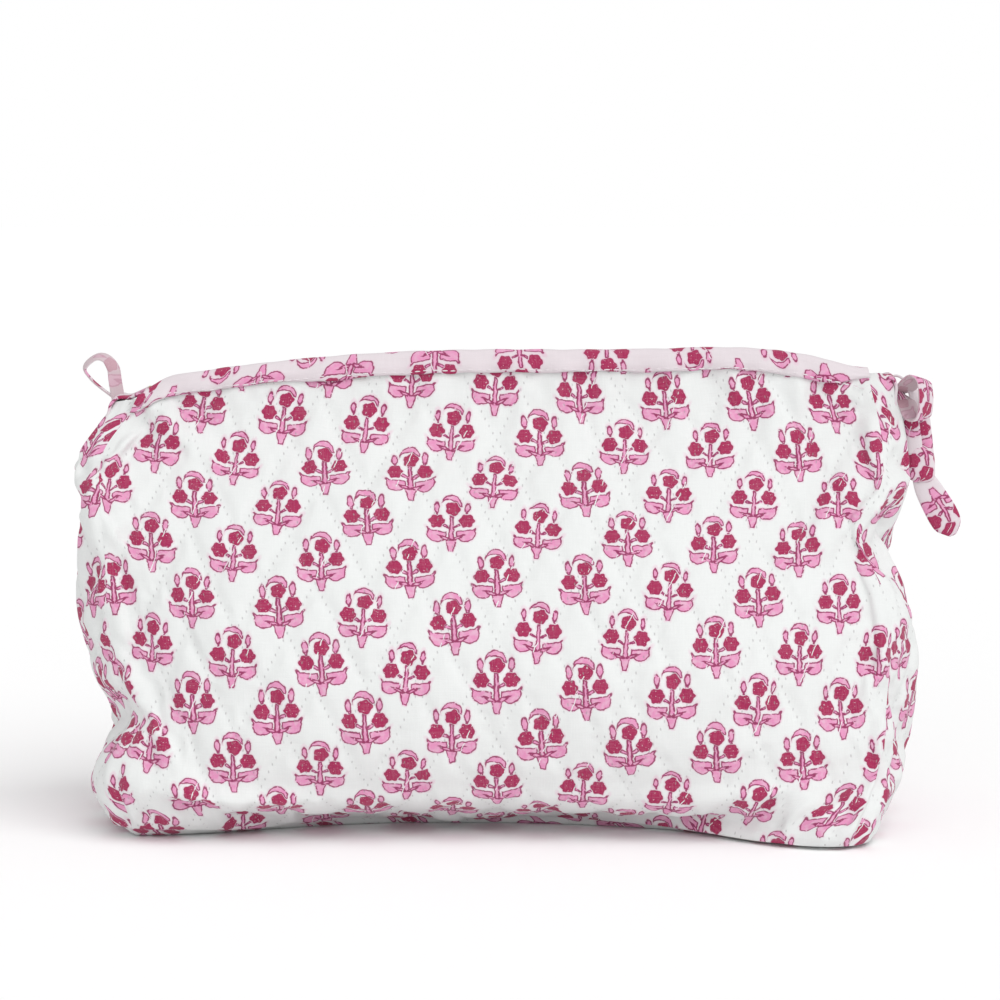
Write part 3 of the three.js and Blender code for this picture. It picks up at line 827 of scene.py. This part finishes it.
# Neighbouring panels share one direction at their seam, so their edges stay sewn together.
ROUND_THE_BAG = ["front", "right_gusset", "back", "left_gusset"]
for first, second in zip(ROUND_THE_BAG, ROUND_THE_BAG[1:] + ROUND_THE_BAG[:1]):
    shared = unit(panels[first]["normals"][:, -1] + panels[second]["normals"][:, 0])
    for name, edge in ((first, 1), (second, -1)):
        piece = panels[name]
        off_seam = (1 - edge * piece["s"]) * PANELS[name][1] / 2
        share = bump(off_seam, 0, SEAM_REACH)[..., None]
        piece["normals"] = unit(piece["normals"] * (1 - share) + shared[:, None] * share)

for seed, (name, piece) in enumerate(panels.items()):
    s, t, smooth = piece["s"], piece["t"], piece["smooth"]
    wide = PANELS[name][1]
    u = arc_lengths(smooth, 1)
    u = u - u[:, [u.shape[1] // 2]]
    v = arc_lengths(smooth, 0)
    waist = v.shape[0] // 2
    v = v - v[[waist]] + smooth[[waist], :, 2]
    quilt = quilting_coordinates(u, v, 20 + seed)
    hem = smoothstep(0, HEM, (1 - np.abs(s)) * wide / 2) * smoothstep(0, HEM, t * TALL)
    hem = hem * smoothstep(0, RIM_HEM, (1 - t) * TALL)
    relief = quilting_relief(quilt, u, v, 40 + seed) * hem + seam_relief(s, t, wide, 60 + seed)
    piece["outer"] = smooth + piece["normals"] * relief[..., None]
    shift = PRINT_AT[name]
    piece["layers"] = {"fabric": np.stack([u + shift[0], v + shift[1]], -1), "quilting": quilt}

HALVES = {"left": -1, "right": 1}
HALF = 140.0  # the bag's half length


def blend_half(made, side, sign):
    """Bakes the half's transform into its mesh; the start and gradient it works out are not used."""
    start = Vector((sign * HALF, 0, TALL))
    gradient = Vector((-sign / HALF, 0, 1 / TALL))
    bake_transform(made)


def in_halves(side, columns):
    """Each half's name, sign and columns, which meet in the middle one. The back's columns run the other way."""
    middle = columns // 2
    for word, sign in HALVES.items():
        first = (sign < 0) == (side == "front")
        yield word, sign, slice(0, middle + 1) if first else slice(middle, None)


def panel_sheets(name, kind, halves_of, outer, thick, layers, material, *nodes):
    """One layer of a panel, in two halves split at its middle column if the panel is the front or the back."""
    normals = grid_normals(outer)
    if name not in ("front", "back"):
        made = sheet_object(f"{name}_{kind}", outer, thick, normals, layers)
        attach(dress(made, material, *nodes), "bag")
        return
    for word, sign, part in in_halves(halves_of, outer.shape[1]):
        made = sheet_object(f"{name}_{kind}_{word}", outer, thick, normals, layers, part)
        blend_half(dress(made, material, *nodes), name, sign)


for name in ("front", "back", "left_gusset", "right_gusset"):
    piece = panels[name]
    nodes = (name if "gusset" in name else f"{name}_panel", f"{name}_wadding")
    panel_sheets(name, "quilt", name, piece["outer"], QUILT_THICK, piece["layers"], QUILT_CLOTH, *nodes)


def base_sheet(name, grid, thick, across, material, *nodes):
    """A layer of the base. across is the way that its fabric's first direction runs along the grid's columns."""
    u, v = across * arc_lengths(grid, 1), arc_lengths(grid, 0)
    layers = {"fabric": np.stack([u, v], -1), "quilting": quilting_coordinates(u, v, 30)}
    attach(dress(sheet_object(name, grid, thick, grid_normals(grid), layers), material, *nodes), "bag")


# The base lies just inside the other panels' lower edges, which turn under it.
base = base_grid({name: piece["outer"] for name, piece in panels.items()}) * (0.994, 0.986, 1.0)
base_sheet("base_quilt", base, QUILT_THICK, -1, QUILT_CLOTH, "base_panel", "base_wadding")


# ---- lining

def lining_depth(t):
    return LINING_DEPTH * (1 - 0.45 * smoothstep(0.7, 0.95, t))


def lining_sheet(piece, short, step=2):
    """The lining's inward face, seen from inside the bag, and its texture layers. It stops short rows below the rim."""
    last, width = piece["smooth"].shape[0] - 1 - short, piece["smooth"].shape[1]
    middle = width // 2
    rows = np.unique(np.append(np.arange(0, last, step), last))
    columns = np.unique(np.concatenate([np.arange(middle, -1, -step), np.arange(middle, width, step), [0, width - 1]]))
    pick = np.ix_(rows, columns)
    t, layers = piece["t"][pick], {key: value[pick] for key, value in piece["layers"].items()}
    puff = 0.35 * quilting_relief(layers["quilting"], *np.moveaxis(layers["fabric"], -1, 0), 90)
    depth = lining_depth(t) + LINING_THICK + puff * smoothstep(0, 0.06, 1 - t)
    inner = piece["smooth"][pick] - piece["normals"][pick] * depth[..., None]
    return inner[:, ::-1], {key: value[:, ::-1] for key, value in layers.items()}


for name in PANELS:
    inner, layers = lining_sheet(panels[name], 0 if name in ("front", "back") else 3)
    # the lining's columns run the other way
    halves_of = "back" if name == "front" else "front"
    panel_sheets(name, "inside", halves_of, inner, LINING_THICK, layers, LINING_CLOTH, f"{name}_lining")

inner = base[::2, ::-1][:, ::2] * (0.965, 0.91, 0) + (0, 0, 4.2)
base_sheet("base_inside", inner, LINING_THICK, 1, LINING_CLOTH, "base_lining")


# ---- bound seam allowances inside

def trim_loft(name, rings, print_at, node, body="bag"):
    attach(dress(loft_object(name, rings, print_at), TRIM_CLOTH, node), body)


for side, end, sign in (("front", "right", 1), ("front", "left", -1), ("back", "left", 1), ("back", "right", -1)):
    piece = panels[side]
    column = -1 if sign > 0 else 0
    rows = np.arange(int(0.05 * piece["t"].shape[0]), int(0.8 * piece["t"].shape[0]), 3)
    line, normal = piece["smooth"][rows, column], piece["normals"][rows, column]
    reach = lining_depth(piece["t"][rows, column]) + 1.2 + SEAM_TAPE[0] / 2
    middle = line - normal * reach[:, None]
    along = unit(np.gradient(middle, axis=0))
    ex, ey = ring_shape(*SEAM_TAPE, 16)
    wave = 0.5 * noise(rows / 5.0, 0.3 * sign, 70)
    sections = middle[:, None] + normal[:, None] * ex[None, :, None]
    sections = sections + np.cross(along, normal)[:, None] * (ey[None] + wave[:, None])[..., None]
    trim_loft(f"{side}_{end}_seam_binding", sections, (3.0 * sign, 5.0), f"{side}_{end}_seam_tape")

for side, sign in (("front", -1), ("back", 1)):
    low, high = node_box(f"{side}_base_seam_tape")
    x = np.linspace(low[0], high[0], 60)
    foot = panels[side]["smooth"][0][:: 1 if side == "front" else -1]
    y = np.interp(x, foot[:, 0], foot[:, 1]) - sign * 9 + 0.8 * noise(x / 23, 0.5, 72)
    path = np.stack([x, y, np.full_like(x, (low[2] + high[2]) / 2)], -1)
    sections = band_sections(path, (0, 0, 1), *SEAM_TAPE, 90, 16)
    trim_loft(f"{side}_base_seam_binding", sections, (1.0, 7.0), f"{side}_base_seam_tape")


# ---- binding, zip tapes and teeth

def rim_frame(side):
    """A function giving each column's surface point and normal at a height below the rim, and the fabric's run."""
    piece = panels[side]
    rows = piece["t"].shape[0] - 1

    def at(below):
        row = rows - np.broadcast_to(below, (piece["t"].shape[1],)) / (TALL / rows)
        return sample_rows(piece["smooth"], row), unit(sample_rows(piece["normals"], row))

    return at, piece["layers"]["fabric"][-1, :, 0]


def binding_rings(side, at, u, seed):
    """Rings round the folded strip, from its lower edge outside, over the rim, to its lower edge inside and back."""
    low_edge = BINDING_HEIGHT + 0.8 * noise(u / 19, 0.2, seed) + 0.3 * noise(u / 5.0, 0.7, seed + 1)
    top, normal = at(0.0)
    up = unit(top - at(3.0)[0])
    if side == "front":
        low_edge = low_edge * (1 - 0.7 * smoothstep(112, 126, top[:, 0]))
    puff = 1 + 0.5 * layered_noise(u / 8.0, 0.4, seed + 2)

    def leg(below, depth):
        place, facing = at(below)
        return place + facing * np.broadcast_to(depth, u.shape)[:, None]

    outside, inside = [], []
    for f in np.linspace(0, 1, 9)[:-1]:
        crown = 0.55 * puff * math.sin(math.pi * min(1, 0.12 + f)) * (1 - 0.55 * bump(f, 0.17, 0.07)) + 0.25 * puff * f
        outside.append(leg(low_edge * (1 - f), BIND_GAP + BIND_THICK + crown))
        inside.append(leg(low_edge * (1 - f), BIND_GAP))
    out = PRESSED / 2 + BIND_GAP
    for angle in np.linspace(0, math.pi, 7):
        facing = normal * math.cos(angle) + up * math.sin(angle)
        outside.append(top - normal * PRESSED / 2 + facing * (out + BIND_THICK + 0.2))
        inside.append(top - normal * PRESSED / 2 + facing * out)
    for f in np.linspace(1, 0.08, 7)[1:]:
        outside.append(leg(low_edge * (1 - f), -PRESSED - BIND_GAP - BIND_THICK))
        inside.append(leg(low_edge * (1 - f), -PRESSED - BIND_GAP))
    return np.stack(outside + inside[::-1], axis=1)


def grains(name, places, along, normal, length=2.1, width=0.5):
    """Short thread stitches lying on a surface."""
    parts = []
    for p, a, n, b in zip(places, along, normal, np.cross(along, normal)):
        rings = []
        for share, size in ((-0.5, 0.25), (-0.38, 0.8), (0.0, 1.0), (0.38, 0.8), (0.5, 0.25)):
            ex, ey = ring_shape(width * size, width * 0.7 * size, 6, 2.0)
            rings.append(p + a * share * length + b * ex[:, None] + n * ey[:, None] - n * abs(share) * 0.3)
        parts.append(np.stack(rings))
    return merge_lofts(name, parts)


def tape_rows(side, at, points=12):
    """Rows of points from the tape's foot behind the binding, over its fold, to the edge by the teeth."""
    depth = -(PRESSED + 2 * BIND_GAP + BIND_THICK + 0.45)
    foot, fold = (place + facing * depth for place, facing in (at(BINDING_HEIGHT * 0.95), at(2.4)))
    edge, knee = fold.copy(), fold.copy()
    edge[:, 1] = 2.75 * (-1 if side == "front" else 1)
    edge[:, 2] = zip_line(edge[:, 0])
    knee[:, 1] = fold[:, 1] * 0.85
    knee[:, 2] = np.maximum(edge[:, 2] + 0.4, fold[:, 2] - 0.5)
    q = even(points - 1)[:, None, None]
    return (1 - q) ** 3 * foot + q**3 * edge + 3 * q * (1 - q) ** 2 * fold + 3 * q * q * (1 - q) * knee


# Distance past the middle, width and height of a tooth's rings, from the tape's edge to its rounded head.
TOOTH_RINGS = ((3.5, 0.5, 1.0), (3.2, 0.8, 1.5), (1.6, 0.8, 1.5), (0.5, 0.95, 1.8), (-0.2, 0.95, 1.7), (-0.5, 0.5, 1.1))


def tooth(x, side_sign):
    tilt = math.asin(x / ZIP_RADIUS)
    right = np.array([math.cos(tilt), 0, -math.sin(tilt)])
    upward = np.array([math.sin(tilt), 0, math.cos(tilt)])
    rings = []
    for y, wide, tall in TOOTH_RINGS:
        ex, ey = ring_shape(wide, tall, 8, 2.6)
        rings.append(np.array([x, side_sign * y, float(zip_line(x))]) + right * ex[:, None] + upward * ey[:, None])
    return np.stack(rings)


def metal_stop(name, node, share, drop=0.0):
    """A pinched stop as long and as wide as its CAD node."""
    low, high = node_box(node)
    centre, size = (low + high) / 2 - (0, 0, drop), high - low
    path = [centre + (step * size[0] / 2, 0, 0) for step in (-1, 0, 1)]
    rings = band_sections(path, (0, 1, 0), size[1], size[2] * share, 6, 16, 3.0)
    return dress(loft_object(name, rings), BRASS, node)


TOOTH_PITCH = 2.0
ZIP_FROM, ZIP_TO = -116.4, 113.2
TOPSTITCH_STEP = 2.9
TAPE_THICK = 0.5

for side, y_sign, seed in (("front", -1, 80), ("back", 1, 85)):
    at, u = rim_frame(side)
    rings = binding_rings(side, at, u, seed)
    tape = tape_rows(side, at)
    place, normal = at(BINDING_HEIGHT * 0.84)
    stitch_u = np.arange(u.min() + 3, u.max() - 3, TOPSTITCH_STEP)
    stitches = [
        np.stack([np.interp(stitch_u, u, values[:, k]) for k in range(3)], -1)
        for values in (place + normal * (BIND_GAP + BIND_THICK + 0.42), unit(np.gradient(place, axis=0)), normal)
    ]
    x_teeth = np.arange(ZIP_FROM + (TOOTH_PITCH / 2 if side == "back" else 0), ZIP_TO, TOOTH_PITCH)
    tape_normals, normals = grid_normals(tape), loft_normals(rings)
    for word, sign, part in in_halves(side, rings.shape[0]):
        # the print runs the other way up on the binding
        around = lengths_round(rings[part])
        fabric = np.stack(np.broadcast_arrays(u[part][:, None] + 6, 21 - around), -1)
        made = loft_object(f"{side}_binding_{word}", rings[part], fabric=fabric, normals=normals[part])
        blend_half(dress(made, TRIM_CLOTH, f"{side}_binding"), side, sign)

        chosen = stitches[0][:, 0] * sign > 0.2
        made = grains(f"{side}_topstitch_{word}", *(values[chosen] for values in stitches))
        blend_half(dress(made, THREAD), side, sign)

        strip = tape[:, part]
        layers = {"fabric": np.stack([arc_lengths(strip, 1), arc_lengths(strip, 0)], -1)}
        made = sheet_object(f"{side}_tape_{word}", strip, TAPE_THICK, tape_normals[:, part], layers)
        blend_half(dress(made, TAPE_CLOTH, f"{side}_zip_tape"), side, sign)

        teeth = [tooth(x, y_sign) for x in x_teeth if (x >= 0) == (sign > 0)]
        made = merge_lofts(f"{side}_teeth_{word}", teeth)
        blend_half(dress(made, TEETH_PLASTIC, f"{side}_zip_teeth"), side, sign)

    blend_half(metal_stop(f"{side}_stop", f"{side}_top_stop", 0.95), side, 1)

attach(metal_stop("closed_end_stop", "bottom_stop", 0.7, 1.2), "bag")


# ---- slider and pull keep their CAD shapes

for name in ("slider_body", "pull_tab"):
    node = bpy.data.objects[name]
    node.data.materials.clear()
    node.data.materials.append(BRASS)
    bevel = node.modifiers.new("worn_edges", "BEVEL")
    bevel.width = 0.22 * MM
    bevel.segments = 3
    bevel.limit_method = "ANGLE"
    bevel.angle_limit = math.radians(35)


# ---- end tabs, loops and ribbon

TAB_FROM = {"left": 119.6, "right": 123.0}
TAB_WIDTHS = [10.0, 11.0, 14.0, 14.0, 14.0, 14.0, 14.0]

for end, sign in HALVES.items():
    piece = panels[f"{end}_gusset"]
    middle = piece["smooth"].shape[1] // 2
    rows = piece["t"].shape[0] - 1
    path = [np.array([sign * x, 0, float(zip_line(sign * x)) + 0.9]) for x in (TAB_FROM[end], 125.5)]
    path.append(piece["outer"][rows, middle] + (-sign * 1.6, 0, 1.5))
    for below in (1.5, 5, 9, 13):
        row = rows - int(round(below / (TALL / rows)))
        path.append(piece["outer"][row, middle] + piece["normals"][row, middle] * 0.7)
    rings = band_sections(path, (0, 1, 0), TAB_WIDTHS, 1.3, 40, 24, 5.0)
    trim_loft(f"{end}_tab", rings, (5.0, 9.0), f"{end}_zip_tab")

LOOP_RING = 24  # points round a loop's strip


def hanging_loop(end, path, across, width, print_at, first, second):
    """A strip of cloth whose two faces take the first and the second material, sewn in at both ends."""
    rings = band_sections(path, across, width, 1.0, 80, LOOP_RING, 3.6)
    made = loft_object(f"{end}_hanging_loop", rings, print_at)
    made.data.materials.append(first)
    made.data.materials.append(second)
    for polygon in made.data.polygons:
        turned = min(v % LOOP_RING for v in polygon.vertices) >= LOOP_RING // 2
        polygon.material_index = 1 if turned and len(polygon.vertices) == 4 else 0
    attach(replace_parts(made, f"{end}_loop"), f"{end}_loop")


standing = [
    (-129.6, -0.7, 144.0), (-130.3, -0.9, 148.0), (-130.9, -1, 152), (-131.5, -0.8, 156), (-133.8, -0.3, 159.2),
    (-136.8, 0.2, 159.9), (-140.0, 0.8, 158.0), (-141.5, 1.2, 155.4), (-139.4, 1.2, 152.2), (-136.6, 1.1, 149.6),
    (-133.2, 0.9, 147.0), (-129.6, 0.7, 144.2),
]
standing_across = [
    (0.95, 0.3, 0), (0.95, 0.3, 0), (0.93, 0.36, 0), (0.85, 0.5, 0.1), (0.45, 0.8, 0.35), (0.2, 0.9, 0.4),
    (-0.05, 0.93, 0.35), (-0.2, 0.95, 0.2), (-0.3, 0.95, 0.1), (-0.3, 0.95, 0.05), (-0.25, 0.97, 0), (-0.25, 0.97, 0),
]
hanging_loop("left", standing, standing_across, 4.7, (2.0, 4.0), TRIM_CLOTH, GREYER_FACE_CLOTH)

# The right loop has flopped over into a short tube that faces forwards and to the left.
axis = np.array([-0.8, -0.6, 0.1])
level = np.array([0.6, -0.8, 0])
root = np.array([142.5, -4.6, 138.4])
pinch = root + level * 1.5 + (0, 0, 8.0)
turns = [
    (-7.4, 9.4), (-3.5, 10.8), (-0.4, 13.2), (2.6, 14.8), (5.8, 13.8), (6.9, 10.4), (7.0, 5.6), (5.8, 1.8), (2.6, 0.8),
    (-0.4, 2.6), (-3.2, 6.0), (-7.4, 7.9),
]
flopped = [root + level * h + (0, 0, z) for h, z in turns]
flared = [axis + 0.2 * (p - pinch) / np.linalg.norm(p - pinch) for p in flopped]
flopped_width = [7.6, 8.0, 8.3, 8.4, 8.2, 8.0, 8.0, 8.0, 8.0, 8.0, 7.8, 7.6]
hanging_loop("right", flopped, flared, flopped_width, (-12.0, -19.0), GREYER_FACE_CLOTH, TRIM_CLOTH)

strap = [
    (148.2, 1.0, 126.5), (147.4, 1.2, 134), (146.2, 1.2, 141), (142.8, 0.9, 148.6), (139.6, 0.3, 152.4),
    (137.2, 0, 153.4), (135.7, 0, 152.4), (135.7, 0, 151.0), (136.8, -0.1, 149.6), (139.4, -0.8, 146.2),
    (142.0, -1.8, 140.0), (143.4, -2.0, 133), (144.2, -1.8, 126.5),
]
x_axis, y_axis = (1, 0.15, 0), (0.1, 1, 0)
strap_across = [x_axis] * 3 + [(0.8, 0.6, 0)] + [y_axis] * 5 + [(0.7, 0.7, 0)] + [x_axis] * 3
strap_width = [5.2, 5.2, 5.0, 3.8, 2.6, 2.2, 2.2, 2.2, 2.4, 4.2, 5.2, 5.4, 5.4]
strap_thick = [1.1, 1.1, 1.1, 0.9, 0.8, 0.8, 0.8, 0.9, 1.1, 1.1, 1.1]
rings = band_sections(strap, strap_across, strap_width, strap_thick, 90, 24, 3.6)
trim_loft("ribbon_straps", rings, (-2.7, -44.0), "ribbon_strap", "ribbon")

wrap = [
    (145.9, 0, 129.2), (145.9, -0.1, 128.2), (146.1, -0.2, 125.5), (146.3, -0.2, 122.5), (146.5, -0.2, 119.4),
    (146.6, -0.1, 117.8), (146.6, 0, 116.8),
]
wrap_width, wrap_thick = [5.8, 8.2, 9.3, 9.5, 9.3, 8.3, 5.8], [3.0, 4.4, 4.9, 5.0, 4.9, 4.2, 2.8]
rings = band_sections(wrap, (1, 0.1, 0), wrap_width, wrap_thick, 36, 28, 3.4)
trim_loft("ribbon_fold", rings, (-4.6, -4.0), "ribbon_wrap", "ribbon")

tail = [
    (147.0, 0, 118.2), (148.8, 0, 114.4), (151.4, -0.2, 109.8), (154.2, -0.3, 104.9), (156.2, -0.3, 101.2),
    (157.6, -0.2, 98.0),
]
tail_width, tail_thick = [7.6, 9.2, 10.2, 10.6, 9.0, 2.4], [1.6, 2.6, 2.8, 2.8, 2.2, 0.8]
rings = band_sections(tail, (1, 0.05, 0.42), tail_width, tail_thick, 40, 28, 2.3)
trim_loft("ribbon_end", rings, (-4.7, -15.0), "ribbon_tail", "ribbon")


# ---- floor, light and camera

def stage():
    far = 3000
    floor = new_object("floor", [[-far, -far, 0], [far, -far, 0], [far, far, 0], [-far, far, 0]], [[0, 1, 2, 3]])
    tree = Tree("floor")
    tree.fill(tree.shader, {"Base Color": (0.99, 0.99, 0.99, 1), "Roughness": 1.0, "Specular IOR Level": 0.0})
    floor.data.materials.append(tree.material)
    world = bpy.data.worlds.new("studio")
    bpy.context.scene.world = world
    world.use_nodes = True
    nodes, links = world.node_tree.nodes, world.node_tree.links
    lit = nodes["Background"]
    lit.inputs[1].default_value = 0.67
    seen = nodes.new("ShaderNodeBackground")
    seen.inputs[0].default_value = (1, 1, 1, 1)
    lit.inputs[0].default_value = (1, 1, 1, 1)
    mix = nodes.new("ShaderNodeMixShader")
    links.new(nodes.new("ShaderNodeLightPath").outputs["Is Camera Ray"], mix.inputs[0])
    links.new(lit.outputs[0], mix.inputs[1])
    links.new(seen.outputs[0], mix.inputs[2])
    links.new(mix.outputs[0], nodes["World Output"].inputs["Surface"])

    def sun(name, azimuth, elevation, strength, spread):
        light = bpy.data.lights.new(name, "SUN")
        light.energy = strength
        light.angle = math.radians(spread)
        lamp = bpy.data.objects.new(name, light)
        lamp.rotation_euler = (math.radians(90 - elevation), 0, math.radians(azimuth))
        bpy.context.scene.collection.objects.link(lamp)

    sun("key", 42, 50, 1.25, 50)
    sun("fill", -6, 12, 0.5, 70)
    bpy.context.scene.view_settings.view_transform = "Standard"


PITCH = math.radians(7.4)
AWAY = 1.5
AIM = Vector((0.0013, -0.04, 0.1155))


def camera():
    data = bpy.data.cameras.new("camera")
    data.lens = 160.8
    data.sensor_width = 36
    data.clip_start = 0.01
    made = bpy.data.objects.new("camera", data)
    made.location = AIM + AWAY * Vector((0, -math.cos(PITCH), math.sin(PITCH)))
    made.rotation_euler = (math.pi / 2 - PITCH, 0, 0)
    bpy.context.scene.collection.objects.link(made)
    bpy.context.scene.camera = made


stage()
camera()
